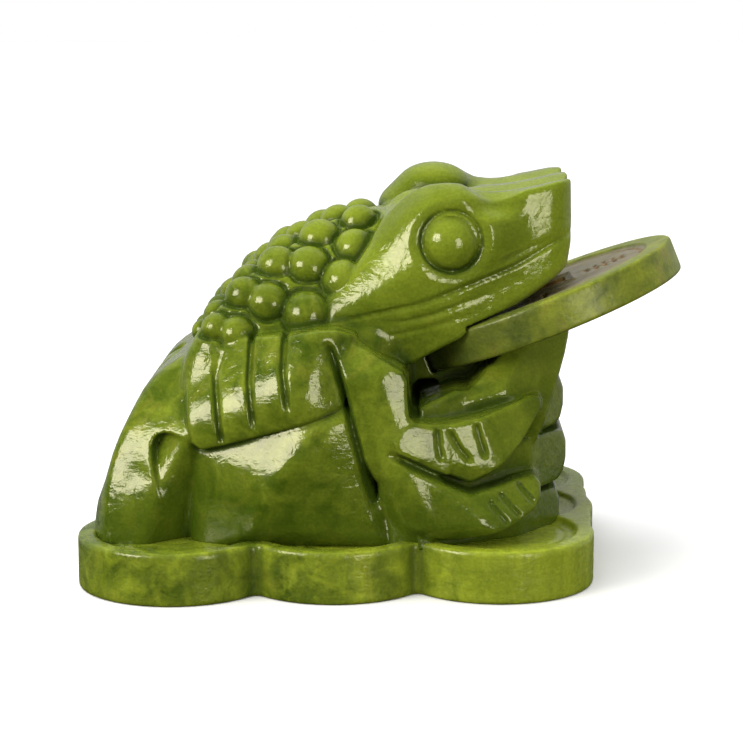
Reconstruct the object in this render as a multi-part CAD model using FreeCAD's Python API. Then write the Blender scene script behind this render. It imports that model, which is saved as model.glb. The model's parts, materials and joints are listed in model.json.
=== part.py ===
"""A carved jade money toad on a coin-shaped base, holding a loose jade coin in its open mouth.

The carving is one stone. It is divided here into the regions that a carver blocks out, each a
closed solid that meets its neighbours face to face. The coin is a second, loose stone.
+X is the way the toad faces, +Y is its left side and +Z is up. The origin is the centre of the
underside of the base. All sizes are in millimetres.
"""
import FreeCAD, Part
import os

from FreeCAD import Vector

# Base: a slab whose outline is a ring of equal overlapping coins.
BASE_THICKNESS = 12.5
BASE_LOBE_RADIUS = 23.5
BASE_LOBE_X = 38.0
BASE_LOBE_Y = 28.5
BASE_END_LOBE_X = 40.0
BASE_RING_RADIUS = 18.0
BASE_RING_WIDTH = 1.4
BASE_RING_DEPTH = 0.9

# Toad: overall levels and widths.
TOP_Z = 97.0
BELLY_HALF_WIDTH = 45.5
SNOUT_X = 57.0
SNOUT_HALF_WIDTH = 20.5
BROW_HALF_WIDTH = 29.5
BROW_X = 27.0
THROAT_X = 18.0
JAW_HALF_WIDTH = 24.0
CHEST_HALF_WIDTH = 22.0

# Coin: a disc lying in the mouth, tipped up at the front and slightly up on the right side.
COIN_RADIUS = 34.0
COIN_THICKNESS = 8.5
COIN_CENTRE = Vector(51.5, 0.0, 63.3)
COIN_PITCH = 22.0
COIN_ROLL = 2.0
COIN_CLEARANCE = 0.3
COIN_TRAVEL = 60.0
COIN_HOLE_HALF = 5.0
COIN_RIM_WIDTH = 2.6
COIN_RELIEF = 0.6

# Eyes: spherical domes on the flat cheeks.
EYE_X = 27.6
EYE_Z = 82.0
EYE_DOME_RADIUS = 6.8
EYE_HEIGHT = 3.4

# Warts: staggered rows of round bosses down the back, from just behind the head.
WART_RADIUS = 4.8
WART_SINK = 1.6
WART_FIRST_X = 3.5
WART_ROW_PITCH = 7.6
WART_ROW_COUNT = 5
WART_SPACING = 10.0
WART_PER_SIDE = 3
WART_LOWEST_Z = 60.0
WART_LEAST_VOLUME = 60.0

# Grooves cut across the haunch, as x positions at its top edge.
BAND_GROOVE_X = [-27.0, -19.0, -11.0]
BAND_GROOVE_WIDTH = 1.0
BAND_GROOVE_DEPTH = 1.2

REACH = 80.0

SIDE_PROFILES = {
    "torso": [
        (-31.0, BASE_THICKNESS), (-37.0, 38.0), (-37.0, 54.0), (-31.5, 62.0), (-20.0, 73.5),
        (-6.0, 81.5), (12.0, 87.5), (8.5, 79.0), (-1.0, 63.0), (THROAT_X, 51.3),
        (THROAT_X, BASE_THICKNESS),
    ],
    "head": [
        (-1.0, 63.0), (8.5, 79.0), (12.0, 87.5), (17.0, 93.0), (21.5, TOP_Z - 1.0), (28.0, TOP_Z),
        (34.0, 93.0), (43.0, 93.0), (SNOUT_X - 0.8, 95.5), (SNOUT_X, 78.0), (THROAT_X, 51.3),
    ],
    "lower_jaw": [
        (THROAT_X, 26.0), (THROAT_X, 37.8), (27.0, 41.7), (38.0, 52.5), (46.0, 62.0),
        (SNOUT_X, 64.0), (56.5, 55.0), (54.0, 45.5), (44.0, 36.0),
    ],
    "ingot_pile": [
        (THROAT_X, BASE_THICKNESS), (THROAT_X, 26.0), (44.0, 36.0), (54.0, 45.5), (56.6, 43.3),
        (56.6, 39.2), (55.4, 33.5), (56.8, 30.6), (56.7, 24.1), (54.0, 19.6), (55.1, 16.5),
        (54.9, BASE_THICKNESS),
    ],
    "hind_leg": [
        (-61.5, BASE_THICKNESS), (-58.2, 21.3), (-55.7, 29.0), (-51.8, 36.7), (-47.6, 44.4),
        (-43.8, 49.5), (-37.0, 54.0), (-37.0, 38.0), (-31.0, BASE_THICKNESS),
    ],
    "haunch": [
        (-33.5, 57.5), (-1.0, 61.5), (3.0, 51.0), (4.5, 45.5), (-9.6, 40.0), (-30.0, 32.9),
        (-34.5, 43.0),
    ],
    "upper_arm": [
        (0.5, 61.0), (13.0, 54.0), (THROAT_X, 41.0), (THROAT_X, 24.0), (14.0, 20.0), (10.0, 27.0),
        (6.4, 39.0), (3.0, 51.0),
    ],
    "hand": [
        (14.0, 32.0), (THROAT_X, 40.5), (34.0, 42.4), (48.5, 45.0), (49.0, 41.0), (44.6, 34.1),
        (31.6, 24.1),
    ],
    "foot": [
        (14.0, 32.0), (31.6, 24.1), (48.0, 27.5), (48.2, 20.7), (41.5, 15.5),
        (33.0, BASE_THICKNESS), (20.0, BASE_THICKNESS), (14.5, 18.0),
    ],
}

# Half of each front outline, from the underside up, as (y, z).
TORSO_FRONT = [
    (42.0, BASE_THICKNESS), (BELLY_HALF_WIDTH, 24.0), (42.0, 38.0), (33.0, 59.0), (22.0, 76.0),
    (9.0, 88.0),
]
HAUNCH_FRONT = [(30.0, 30.0), (46.0, 33.0), (44.5, 42.0), (38.0, 61.0), (25.0, 62.0)]
HIND_FRONT = [(40.0, BASE_THICKNESS), (38.0, 26.0), (27.0, 44.0), (16.0, 54.5)]

# Half of each plan outline, from the back to the front, as (x, y).
TORSO_PLAN = [(-37.5, 37.0), (-20.0, 44.5), (-4.0, BELLY_HALF_WIDTH), (8.0, 40.0), (THROAT_X, 27.0)]
HEAD_PLAN = [(-2.0, 33.0), (10.0, 31.5), (BROW_X, BROW_HALF_WIDTH), (SNOUT_X, SNOUT_HALF_WIDTH)]
JAW_PLAN = [(THROAT_X, JAW_HALF_WIDTH), (38.0, JAW_HALF_WIDTH), (SNOUT_X, 17.0)]
PILE_PLAN = [(THROAT_X, CHEST_HALF_WIDTH), (44.0, CHEST_HALF_WIDTH), (SNOUT_X, 16.0)]
HIND_PLAN = [(-62.0, 22.0), (-57.0, 38.0), (-50.0, 41.0), (-30.0, 36.0)]


def prism(points, direction):
    """Closed polygon of 3D points, pushed along a direction."""
    wire = Part.makePolygon(points + points[:1])
    return Part.Face(wire).extrude(direction)


def side_prism(name, near_y, far_y):
    """A side outline in the XZ plane, as thick as the two given y values."""
    points = [Vector(x, near_y, z) for x, z in SIDE_PROFILES[name]]
    return prism(points, Vector(0, far_y - near_y, 0))


def front_prism(half_outline):
    """Symmetric outline in the YZ plane, as long as the whole toad."""
    right = [Vector(-REACH, -y, z) for y, z in half_outline]
    left = [Vector(-REACH, y, z) for y, z in reversed(half_outline)]
    return prism(right + left, Vector(2 * REACH, 0, 0))


def plan_prism(half_outline):
    """Symmetric outline in the XY plane, as tall as the whole toad."""
    right = [Vector(x, -y, 0) for x, y in half_outline]
    left = [Vector(x, y, 0) for x, y in reversed(half_outline)]
    return prism(right + left, Vector(0, 0, 2 * REACH))


def mirrored(shape):
    """The same region on the toad's left side."""
    return shape.mirror(Vector(0, 0, 0), Vector(0, 1, 0))


def coin_placement(shape):
    """Move a shape drawn flat about the origin to the coin's place in the mouth."""
    shape.rotate(Vector(0, 0, 0), Vector(1, 0, 0), -COIN_ROLL)
    shape.rotate(Vector(0, 0, 0), Vector(0, 1, 0), -COIN_PITCH)
    shape.translate(COIN_CENTRE)
    return shape


def coin_path():
    """The space that the coin sweeps as it slides out, with its running clearance."""
    radius = COIN_RADIUS + COIN_CLEARANCE
    height = COIN_THICKNESS + 2 * COIN_CLEARANCE
    start = Part.makeCylinder(radius, height, Vector(0, 0, -height / 2))
    lane = Part.makeBox(COIN_TRAVEL, 2 * radius, height, Vector(0, -radius, -height / 2))
    return coin_placement(start.fuse(lane))


def make_base():
    """Slab bounded by eight equal coins, each with a shallow ring cut in its top."""
    centres = [(x, y) for x in (-BASE_LOBE_X, 0, BASE_LOBE_X) for y in (-BASE_LOBE_Y, BASE_LOBE_Y)]
    centres += [(-BASE_END_LOBE_X, 0), (BASE_END_LOBE_X, 0)]
    slab = Part.makeBox(2 * BASE_LOBE_X, 2 * BASE_LOBE_Y, BASE_THICKNESS,
                        Vector(-BASE_LOBE_X, -BASE_LOBE_Y, 0))
    discs = [Part.makeCylinder(BASE_LOBE_RADIUS, BASE_THICKNESS, Vector(x, y, 0))
             for x, y in centres]
    slab = slab.multiFuse(discs).removeSplitter()
    for x, y in centres:
        if abs(y) > 0:
            floor = Vector(x, y, BASE_THICKNESS - BASE_RING_DEPTH)
            outer = Part.makeCylinder(BASE_RING_RADIUS, BASE_THICKNESS, floor)
            inner = Part.makeCylinder(BASE_RING_RADIUS - BASE_RING_WIDTH, BASE_THICKNESS, floor)
            slab = slab.cut(outer.cut(inner))
    return slab


def make_torso():
    """Body block with the sloping back, full belly and flat throat."""
    block = side_prism("torso", -REACH, REACH).common(front_prism(TORSO_FRONT))
    return block.common(plan_prism(TORSO_PLAN)).cut(coin_path())


def make_head():
    """Upper head and lip, tapering to a flat snout; its underside is the roof of the mouth."""
    block = side_prism("head", -REACH, REACH).common(plan_prism(HEAD_PLAN))
    return block.cut(coin_path())


def make_lower_jaw():
    """Lower jaw and throat, with the coin's bed cut in its top."""
    block = side_prism("lower_jaw", -REACH, REACH).common(plan_prism(JAW_PLAN))
    return block.cut(coin_path())


def make_ingot_pile():
    """Stacked ingots that the toad clasps to its chest."""
    return side_prism("ingot_pile", -REACH, REACH).common(plan_prism(PILE_PLAN))


def make_hind_leg():
    """The single hind leg under the rump."""
    block = side_prism("hind_leg", -REACH, REACH).common(front_prism(HIND_FRONT))
    return block.common(plan_prism(HIND_PLAN))


def make_haunch(torso):
    """Right thigh with its banded top, standing proud of the flank."""
    thigh = side_prism("haunch", -REACH, 0).common(front_prism(HAUNCH_FRONT)).cut(torso)
    for x in BAND_GROOVE_X:
        slot = Part.makeBox(BAND_GROOVE_WIDTH, BAND_GROOVE_DEPTH, 22.0, Vector(x, -44.0, 39.0))
        slot.rotate(Vector(x, -38.5, 60.0), Vector(1, 0, 0), -19.0)
        thigh = thigh.cut(slot)
    return thigh


def make_front_leg(torso, inner_regions):
    """Right front leg: upper arm, clasping hand and foot, cut to meet the body."""
    arm = side_prism("upper_arm", -41.0, -20.0)
    hand = side_prism("hand", -39.5, -20.0)
    foot = side_prism("foot", -43.0, -20.0)
    leg = arm.fuse([hand, foot]).removeSplitter().cut(torso)
    for region in inner_regions:
        leg = leg.cut(region)
    return leg


def make_eyes(head):
    """Two domed eyes; each stands out of its cheek as a spherical cap."""
    radius = (EYE_DOME_RADIUS ** 2 + EYE_HEIGHT ** 2) / (2 * EYE_HEIGHT)
    taper = (BROW_HALF_WIDTH - SNOUT_HALF_WIDTH) / (SNOUT_X - BROW_X)
    cheek_y = BROW_HALF_WIDTH - (EYE_X - BROW_X) * taper
    centre = Vector(EYE_X, -(cheek_y - radius + EYE_HEIGHT), EYE_Z)
    right = Part.makeSphere(radius, centre).cut(head)
    return Part.makeCompound([right, mirrored(right)])


def interpolate(points, value):
    """Height on a run of (place, height) points, in rising order of place."""
    for (low, low_z), (high, high_z) in zip(points, points[1:]):
        if low <= value <= high:
            return low_z + (high_z - low_z) * (value - low) / (high - low)
    return points[-1][1]


def back_height(x, y):
    """Height of the torso's upper surface over a place on its plan."""
    back = SIDE_PROFILES["torso"][2:7]
    slope = [(0.0, TOP_Z)] + list(reversed(TORSO_FRONT[2:]))
    return min(interpolate(back, x), interpolate(slope, abs(y)))


def make_warts(regions):
    """Staggered rows of round bosses across the back, cut off flush with what they stand on."""
    warts = []
    for row in range(WART_ROW_COUNT):
        x = WART_FIRST_X - row * WART_ROW_PITCH
        shift = 0.5 * (row % 2)
        for column in range(-WART_PER_SIDE, WART_PER_SIDE + 1 - row % 2):
            y = (column + shift) * WART_SPACING
            z = back_height(x, y) - WART_SINK
            if z > WART_LOWEST_Z:
                wart = Part.makeSphere(WART_RADIUS, Vector(x, y, z))
                for region in regions:
                    wart = wart.cut(region)
                warts += [solid for solid in wart.Solids if solid.Volume > WART_LEAST_VOLUME]
    return Part.makeCompound(warts)


def make_coin():
    """Loose disc with a raised rim and a raised square border on its upper face."""
    half = COIN_THICKNESS / 2
    disc = Part.makeCylinder(COIN_RADIUS, COIN_THICKNESS, Vector(0, 0, -half))
    recess = Part.makeCylinder(COIN_RADIUS - COIN_RIM_WIDTH, COIN_RELIEF,
                               Vector(0, 0, half - COIN_RELIEF))
    border = Part.makeBox(2 * COIN_HOLE_HALF, 2 * COIN_HOLE_HALF, COIN_RELIEF,
                          Vector(-COIN_HOLE_HALF, -COIN_HOLE_HALF, half - COIN_RELIEF))
    return coin_placement(disc.cut(recess.cut(border)))


def save(name, shape):
    """Write one node and print its size, so that a bad solid shows at once."""
    solids = shape.Solids
    box = shape.BoundBox
    shape.exportStep(f"parts/{name}.step")
    print(f"{name:18s} solids {len(solids)} valid {shape.isValid()} "
          f"volume {sum(s.Volume for s in solids):9.1f} "
          f"x {box.XMin:6.1f}..{box.XMax:6.1f} y {box.YMin:6.1f}..{box.YMax:6.1f} "
          f"z {box.ZMin:6.1f}..{box.ZMax:6.1f}")


def main():
    os.makedirs("parts", exist_ok=True)
    torso = make_torso()
    head = make_head()
    jaw = make_lower_jaw()
    pile = make_ingot_pile()
    leg = make_front_leg(torso, [jaw, pile, coin_path()])
    haunch = make_haunch(torso).cut(leg)
    save("base_slab", make_base())
    save("torso", torso)
    save("head", head)
    save("lower_jaw", jaw)
    save("ingot_pile", pile)
    save("hind_leg", make_hind_leg())
    save("front_leg_right", leg)
    save("front_leg_left", mirrored(leg))
    save("haunch_right", haunch)
    save("haunch_left", mirrored(haunch))
    save("eyes", make_eyes(head))
    save("back_warts", make_warts([torso, head, leg, haunch, mirrored(leg), mirrored(haunch)]))
    save("coin", make_coin())


main()
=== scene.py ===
"""Looks of the carved jade money toad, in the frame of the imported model.

Masses are blocked out, faces are cut on them, lines and warts are engraved, and the surface is
meshed and polished. The work is done in millimetres on a grid that holds the distance to the
surface, and the finished pieces are handed to Blender in metres.
"""

import json
import math

import bpy
import numpy as np
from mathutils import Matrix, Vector


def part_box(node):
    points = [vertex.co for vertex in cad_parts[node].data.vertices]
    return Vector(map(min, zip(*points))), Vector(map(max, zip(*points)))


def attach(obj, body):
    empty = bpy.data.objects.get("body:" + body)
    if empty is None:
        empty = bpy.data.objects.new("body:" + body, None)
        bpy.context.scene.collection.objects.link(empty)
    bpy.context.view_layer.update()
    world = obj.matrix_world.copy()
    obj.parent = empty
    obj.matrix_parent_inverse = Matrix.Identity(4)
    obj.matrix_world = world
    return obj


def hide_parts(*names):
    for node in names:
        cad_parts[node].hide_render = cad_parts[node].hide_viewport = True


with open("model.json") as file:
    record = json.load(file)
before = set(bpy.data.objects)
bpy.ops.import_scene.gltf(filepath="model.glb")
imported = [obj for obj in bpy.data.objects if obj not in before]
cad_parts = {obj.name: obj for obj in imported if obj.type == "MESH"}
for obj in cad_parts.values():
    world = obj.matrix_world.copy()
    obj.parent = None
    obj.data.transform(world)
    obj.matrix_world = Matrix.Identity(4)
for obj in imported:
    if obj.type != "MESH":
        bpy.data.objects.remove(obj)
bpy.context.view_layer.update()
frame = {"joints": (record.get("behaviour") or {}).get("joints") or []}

MM = 0.001
STEP = 0.5
FAR = 50.0    # a distance beyond every outline


def node_corners(node):
    """Lowest and highest corners of a CAD node, in millimetres."""
    return [np.round(np.array(corner) / MM, 3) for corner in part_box(node)]


def coin_pitch():
    """Slope of the coin, which is the slope of the path that it slides along."""
    axis = frame["joints"][0]["axis"]
    return math.radians(round(math.degrees(math.atan2(axis[2], axis[0])), 2))


BASE_HEIGHT = float(node_corners("base_slab")[1][2])
COIN_CENTRE = sum(node_corners("coin")) / 2
COIN_RADIUS = 34.0
COIN_THICKNESS = 8.5
COIN_PITCH = coin_pitch()
COIN_ROLL = math.radians(2.0)


# ---------------------------------------------------------------- carving tools

def join(a, b, soft):
    """Union of two fields, with a fillet of the given size in the crease."""
    near = np.maximum(soft - np.abs(a - b), 0) / soft
    return np.minimum(a, b) - near * near * soft * 0.25


def meet(a, b, soft):
    """Intersection of two fields, with a rounded edge."""
    return -join(-a, -b, soft)


def cut(a, b, soft):
    """First field with the second taken away."""
    return meet(a, -b, soft)


def smooth_step(value):
    """Goes from 0 to 1 as the value does, with no corner at either end."""
    value = np.clip(value, 0, 1)
    return value * value * (3 - 2 * value)


def ridge_at(distance, width):
    """Bell curve: 1 where the distance is 0, and little beyond twice the width."""
    return np.exp(-(distance / width) ** 2)


def rounded(points, times=2):
    """Closed outline with its corners cut back, each time at a quarter of the sides."""
    for _ in range(times):
        smoother = []
        for (u0, v0), (u1, v1) in zip(points, points[1:] + points[:1]):
            smoother.append((0.75 * u0 + 0.25 * u1, 0.75 * v0 + 0.25 * v1))
            smoother.append((0.25 * u0 + 0.75 * u1, 0.25 * v0 + 0.75 * v1))
        points = smoother
    return points


def outline_distance(points, u, v):
    """Distance in a plane to a closed outline, negative inside."""
    best = np.full(np.broadcast(u, v).shape, 1e6, np.float32)
    inside = np.zeros(best.shape, bool)
    for (u0, v0), (u1, v1) in zip(points, points[1:] + points[:1]):
        du, dv = u1 - u0, v1 - v0
        along = np.clip(((u - u0) * du + (v - v0) * dv) / (du * du + dv * dv), 0, 1)
        best = np.minimum(best, np.hypot(u - u0 - along * du, v - v0 - along * dv))
        if v0 != v1:
            inside ^= ((v0 > v) != (v1 > v)) & (u < du * (v - v0) / dv + u0)
    return np.where(inside, -best, best).astype(np.float32)


def path_distance(points, u, v):
    """Distance in a plane to an open path, and how far along the path the nearest place is."""
    best = np.full(np.broadcast(u, v).shape, 1e6, np.float32)
    place = np.zeros(best.shape, np.float32)
    for index, ((u0, v0), (u1, v1)) in enumerate(zip(points, points[1:])):
        du, dv = u1 - u0, v1 - v0
        along = np.clip(((u - u0) * du + (v - v0) * dv) / (du * du + dv * dv), 0, 1)
        gap = np.hypot(u - u0 - along * du, v - v0 - along * dv)
        nearer = gap < best
        best = np.where(nearer, gap, best)
        place = np.where(nearer, (index + along) / (len(points) - 1), place)
    return best, place


class Stone:
    """Grid over one half of a symmetric block; y is the distance from the middle plane."""

    def __init__(self, low, high, step):
        self.step = step
        self.low = (low[0], 0.0, low[2])
        counts = [int(math.ceil((h - l) / step)) + 1 for l, h in zip(self.low, high)]
        x, y, z = [l + step * np.arange(n, dtype=np.float32) for l, n in zip(self.low, counts)]
        self.x, self.y, self.z = x[:, None, None], y[None, :, None], z[None, None, :]
        self.shape = tuple(counts)

    def side(self, points, times=2):
        """Outline seen from the side, as (x, z)."""
        points = rounded(points, times)
        return outline_distance(points, self.x[:, 0, :], self.z[0])[:, None, :]

    def front(self, points, times=2):
        """Half outline seen from the front, as (y, z) from the bottom up."""
        points = [(-FAR, points[0][1])] + points + [(-FAR, points[-1][1])]
        return outline_distance(rounded(points, times), self.y[0], self.z[0])[None, :, :]

    def plan(self, points, times=2):
        """Half outline seen from above, as (x, y) from the back to the front."""
        points = [(points[0][0], -FAR)] + points + [(points[-1][0], -FAR)]
        return outline_distance(rounded(points, times), self.x[:, :, 0], self.y[0].T)[:, :, None]

    def face(self, x, y, z, lean_x=0.0, lean_z=0.0):
        """Flat side face through a point; the leans say how y changes with x and with z."""
        size = math.sqrt(1 + lean_x ** 2 + lean_z ** 2)
        return (self.y - y - lean_x * (self.x - x) - lean_z * (self.z - z)) / size

    def plane(self, point, normal):
        """Flat cut through a point; stone is left on the side that the normal points away from."""
        n = np.array(normal) / np.linalg.norm(normal)
        return ((self.x - point[0]) * n[0] + (self.y - point[1]) * n[1]
                + (self.z - point[2]) * n[2]).astype(np.float32)

    def ball(self, centre, radii):
        """Ellipsoid; the field is close to a distance near its surface."""
        u = (self.x - centre[0]) / radii[0]
        v = (self.y - centre[1]) / radii[1]
        w = (self.z - centre[2]) / radii[2]
        reach = np.sqrt(u * u + v * v + w * w)
        return ((reach - 1) * min(radii)).astype(np.float32)

    def bar(self, start, end, start_radius, end_radius):
        """Round bar between two points, tapering from one radius to the other."""
        a, b = np.array(start, np.float32), np.array(end, np.float32)
        d = b - a
        px, py, pz = self.x - a[0], self.y - a[1], self.z - a[2]
        along = np.clip((px * d[0] + py * d[1] + pz * d[2]) / float(d @ d), 0, 1)
        gap = np.sqrt((px - along * d[0]) ** 2 + (py - along * d[1]) ** 2
                      + (pz - along * d[2]) ** 2)
        return gap - (start_radius + (end_radius - start_radius) * along)

    def mass(self, side, faces, soft=1.5, inner=None):
        """Block with a side outline, cut by the given faces."""
        field = side
        for other in faces:
            field = meet(field, other, soft)
        if inner is not None:
            field = np.maximum(field, inner - self.y)
        return field

    def window(self, centre, reach):
        """Slices of the grid within reach of a point."""
        slices = []
        for value, low, count in zip(centre, self.low, self.shape):
            first = max(0, int((value - reach - low) / self.step))
            last = min(count, int((value + reach - low) / self.step) + 2)
            slices.append(slice(first, last))
        return tuple(slices)

    def height(self, field, x, y):
        """Height of the highest surface over a place on the plan."""
        i = int(round((x - self.low[0]) / self.step))
        j = int(round((y - self.low[1]) / self.step))
        column = field[i, j]
        inside = np.nonzero(column < 0)[0]
        k = inside[-1]
        part = column[k] / (column[k] - column[k + 1])
        return self.low[2] + (k + part) * self.step

    def normal(self, field, point):
        """Outward direction of the field at a point."""
        i, j, k = [int(round((p - l) / self.step)) for p, l in zip(point, self.low)]
        reach = 2
        n = np.array([field[i + reach, j, k] - field[i - reach, j, k],
                      field[i, j + reach, k] - field[i, abs(j - reach), k],
                      field[i, j, k + reach] - field[i, j, k - reach]])
        return n / np.linalg.norm(n)

    def engrave(self, field, path, width, depth, outside=8.0, ends=0.15):
        """Push the surface in along a path seen from the side, shallower towards both ends."""
        gap, place = path_distance(path, self.x[:, 0, :], self.z[0])
        fade = np.clip(np.minimum(place, 1 - place) / ends, 0, 1)
        push = (depth * smooth_step(1 - gap / width) * fade).astype(np.float32)[:, None, :]
        on_flank = np.clip((self.y - outside) / 3.0, 0, 1)
        return field + push * on_flank


def dome(stone, point, normal, radius, rise):
    """Ball whose cap stands out of the surface by its rise, and the part of the grid it fills."""
    ball_radius = (radius ** 2 + rise ** 2) / (2 * rise)
    centre = np.array(point) - np.array(normal) * (ball_radius - rise)
    area = stone.window(point, ball_radius + 3)
    x, y, z = stone.x[area[0]], stone.y[:, area[1]], stone.z[:, :, area[2]]
    ball = np.sqrt((x - centre[0]) ** 2 + (y - centre[1]) ** 2 + (z - centre[2]) ** 2)
    ball = (ball - ball_radius).astype(np.float32)
    return ball, area


# ---------------------------------------------------------------- the toad's masses

GRID_LOW = (-65.0, 0.0, 9.8)
GRID_HIGH = (60.0, 50.0, 99.5)
TOAD_BOTTOM = BASE_HEIGHT - 1.7    # the toad goes on into the base, to below its ledges
UNDER = 6.0    # where the outlines of masses on the base begin, well below its top


def block_out_torso(s):
    """Egg-like trunk with the sloping back; wide and full near the base."""
    side = s.side([(-33, UNDER), (-37, 30), (-38, 46), (-36, 54.5), (-30, 62.2), (-24, 69.2),
                   (-16, 76.2), (-7, 81.7), (3, 85.8), (13, 89.2), (22, 80), (18, 60),
                   (18, UNDER)])
    front = s.front([(41, UNDER), (43.5, 24), (41, 38), (36, 52), (31.2, 60), (26.6, 68),
                     (21.5, 76), (12, 84), (6, 88.5)])
    plan = s.plan([(-41, 30), (-30, 37), (-16, 41), (-2, 42.5), (8, 37), (18, 24)])
    return meet(meet(side, front, 5), plan, 5)


def block_out_belly(s):
    """Bulge under the thigh: a bright upper facet, and lower faces that tuck in to the base."""
    side = s.side([(-33, UNDER), (-36.0, 20), (-37, 32), (-25.8, 34.6), (-15.2, 38.0), (-2.7, 42.0),
                   (6, 47), (12, 38), (13, 27), (15, UNDER)], 1)
    faces = [s.face(-14, 46.8, 28, 0.42, -0.38), s.face(-14, 47.0, 28, -0.08, 0.16),
             s.face(-14, 47.0, 28, 0.52, 0.02), s.face(-31, 38.6, 30, 1.2, 0.0),
             s.face(-10, 46.6, 19, 0.04, 0.50), s.face(-10, 44.4, 14.5, 0.04, 1.2)]
    shoulder_side = s.face(2, 46.8, 30, -0.50, -0.12)
    return meet(s.mass(side, faces, 1.3, inner=10), shoulder_side, 6.0)


def block_out_thigh(s):
    """Banded thigh: a bar with a flat ledge on top, turning outwards towards the shoulder."""
    side = s.side([(-33.2, 55.6), (-28.0, 58.0), (-20, 59.8), (-10.9, 60.6), (-1.0, 62.6),
                   (7, 60), (8, 47), (-2.7, 42.0), (-15.2, 38.0), (-25.8, 34.9), (-32.4, 33.4),
                   (-34.2, 41), (-34.8, 49.5)], 1)
    from_crown = np.abs(s.z - 42.0 - 0.42 * (s.x + 20.3))
    crown, bend = 9.0, 13.0
    drop = np.where(from_crown < crown, from_crown ** 2, crown * (2 * from_crown - crown))
    barrel = s.y - 44.8 - 0.27 * (s.x + 16) + drop / (2 * bend)
    steepness = np.sqrt(1.07 + (np.minimum(from_crown, crown) / bend) ** 2)
    barrel = (barrel / steepness).astype(np.float32)
    front = s.face(-6, 46.6, 50, -0.62, -0.20)
    return s.mass(side, [meet(barrel, front, 5.0)], 1.0, inner=8)


def block_out_hind_leg(s):
    """Rump and single hind leg: angular at the base, with an arched hollow before the crease."""
    side = s.side([(-58.9, UNDER), (-57.2, 18), (-55.4, 22.5), (-53.9, 26.2), (-51.9, 33.2),
                   (-48.1, 41.4), (-44.9, 47.2), (-39.6, 51.8), (-31.5, 55.8), (-26, 57.5),
                   (-26, UNDER)], 1)
    faces = [s.face(-46, 37.2, 31, 0.40, -0.36), s.face(-46, 39.7, 24, 0.20, -0.05),
             s.face(-56, 33.4, 20, 2.2, -0.30), s.face(-45, 34.8, 38.2, 0.42, -0.85),
             s.face(-35, 37.0, 24, -0.80, 0.30)]
    rump = s.mass(side, faces, 1.8)
    plan = s.plan([(-61, 18), (-59, 26), (-57.5, 34), (-52, 44), (-26, 46)], 1)
    rump = meet(rump, plan, 2)
    hollow = s.side([(-42.6, 33.0), (-41.6, 36.2), (-38.8, 37.2), (-34.0, 36.0), (-32, 28),
                     (-34.5, 20), (-38.4, 17.0), (-40.8, 24)], 1)
    slant = np.clip((-33.5 - s.x) / 8, 0, 1) * np.clip((s.z - 21) / 13, 0, 1)
    dimple = 0.5 * ridge_at(np.hypot(s.x + 46.0, s.z - 27.5), 2.646)
    depth = 3.2 * smooth_step(0.5 - hollow / 1.4) * slant + dimple
    on_flank = np.clip((s.y - 18) / 3, 0, 1)
    return engrave_rear(s, rump + depth.astype(np.float32) * on_flank)


def engrave_rear(s, leg):
    """Outline and toes of the single hind leg, folded down the middle of the back."""
    outline = [(0, 53), (8, 50), (13, 41), (12.5, 30), (10, 21), (14, 15), (14.5, 8)]
    gap, _ = path_distance(outline, s.y[0], s.z[0])
    push = 2.0 * smooth_step(1 - gap / 2.2)
    for toe in ([(0, 25), (0, 8)], [(4.5, 24), (5.5, 8)], [(8.6, 22), (10.4, 8)]):
        gap, place = path_distance(toe, s.y[0], s.z[0])
        push = push + 1.3 * smooth_step(1 - gap / 1.2) * smooth_step(place / 0.4)
    at_rear = smooth_step((-38 - s.x) / 3)
    return leg + (push[None, :, :] * at_rear).astype(np.float32)


def block_out_head(s):
    """Upper head: flat cheeks tapering to a square snout, two brows and a dipped nose."""
    side = s.side([(-8.0, 60.8), (1.8, 71.5), (7.6, 79), (10.4, 85.0), (14.8, 90.5), (19.5, 93.6),
                   (28.5, 94.2), (32.5, 92.4), (38.5, 92.2), (46, 93.4), (55.4, 95.6),
                   (56.3, 94.8), (56.1, 75.2), (52.6, 72.4), (46.8, 68.0), (35.3, 61.2),
                   (22.1, 54.4), (17.5, 51.2), (10, 54.2), (4, 56.8)], 1)
    faces = [s.face(26, 31.0, 82, -0.30, -0.04), s.face(14, 31.2, 74, 0.34, -0.37),
             s.face(2.5, 29.2, 70.5, 0.79, -0.9), s.face(7.8, 31.7, 67.7, 0.0, 0.12),
             s.face(20, 31.8, 68.9, -0.03, 0.24), s.face(40, 27.0, 76.3, -0.35, 0.11),
             s.face(55, 20.0, 86, -1.3, 0.0), s.plane((26, 28.4, 92.6), (0.0, 0.55, 0.85))]
    head = s.mass(side, faces, 1.6)
    mound = s.ball((27.6, 24.6, 82.0), (13.0, 7.6, 11.0))
    head = join(head, mound, 4.0)
    valley = s.bar((4, 0, 96.0), (30, 0, 99.5), 5.0, 7.6)
    return cut(head, valley, 3.0)


def block_out_jaw(s):
    """Lower jaw: slopes out and down from the mouth to the clasped hand."""
    side = s.side([(15, 22), (17, 37.5), (21, 37.9), (27.4, 41.7), (33, 47.2), (38.5, 53), (46, 62),
                   (57.0, 63), (55.9, 55), (53.4, 47), (52.4, 44), (47, 30), (30, 22)], 1)
    faces = [s.face(38, 24.5, 52, 0.0, -0.75), s.face(50, 20.0, 52, -0.7, -0.35),
             s.face(30, 30.6, 42, -0.25, 0.25)]
    return s.mass(side, faces, 0.7)


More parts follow.
